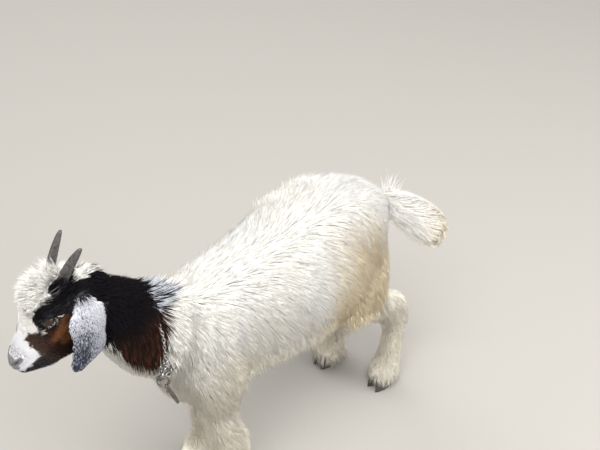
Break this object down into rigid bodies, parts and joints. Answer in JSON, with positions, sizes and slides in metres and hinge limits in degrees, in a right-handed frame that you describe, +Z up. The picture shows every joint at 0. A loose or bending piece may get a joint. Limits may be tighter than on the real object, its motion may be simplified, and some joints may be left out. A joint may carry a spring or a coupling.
{
  "type": "goat",
  "caption": "Life-size standing young goat with a long white coat, dark head and neck patches, hanging grey ears, short horns and a chain collar.",
  "frame": {"origin": "the middle of the whole model's box, on the floor under the hooves", "axes": "+Z up; the goat looks along -X, with its left side at -Y"},
  "size_m": [0.8156, 0.2252, 0.6603],
  "materials": {
    "white_coat": "long soft white hair over skin, cream-stained on the thighs",
    "dark_coat": "glossy black to dark reddish-brown hair",
    "ear_coat": "short blue-grey speckled hair, darker to the tip",
    "horn": "grey-brown keratin with faint growth ridges",
    "hoof": "dark grey keratin, dusty",
    "eye": "wet brown iris with a level slot pupil",
    "chain_steel": "worn galvanised steel"
  },
  "bodies": {
    "root": {"collar_chain": "chain_steel", "collar_knot": "chain_steel", "head": "white_coat", "left_ear": "ear_coat", "left_eye": "eye", "left_fore_hoof_inner": "hoof", "left_fore_hoof_outer": "hoof", "left_fore_leg_lower": "white_coat", "left_fore_leg_upper": "white_coat", "left_hind_hoof_inner": "hoof", "left_hind_hoof_outer": "hoof", "left_hind_leg_lower": "white_coat", "left_hind_leg_upper": "white_coat", "left_horn": "horn", "neck": "dark_coat", "right_ear": "ear_coat", "right_eye": "eye", "right_fore_hoof_inner": "hoof", "right_fore_hoof_outer": "hoof", "right_fore_leg_lower": "white_coat", "right_fore_leg_upper": "white_coat", "right_hind_hoof_inner": "hoof", "right_hind_hoof_outer": "hoof", "right_hind_leg_lower": "white_coat", "right_hind_leg_upper": "white_coat", "right_horn": "horn", "snap_hook": "chain_steel", "tail": "white_coat", "trunk": "white_coat"}
  },
  "joints": []
}
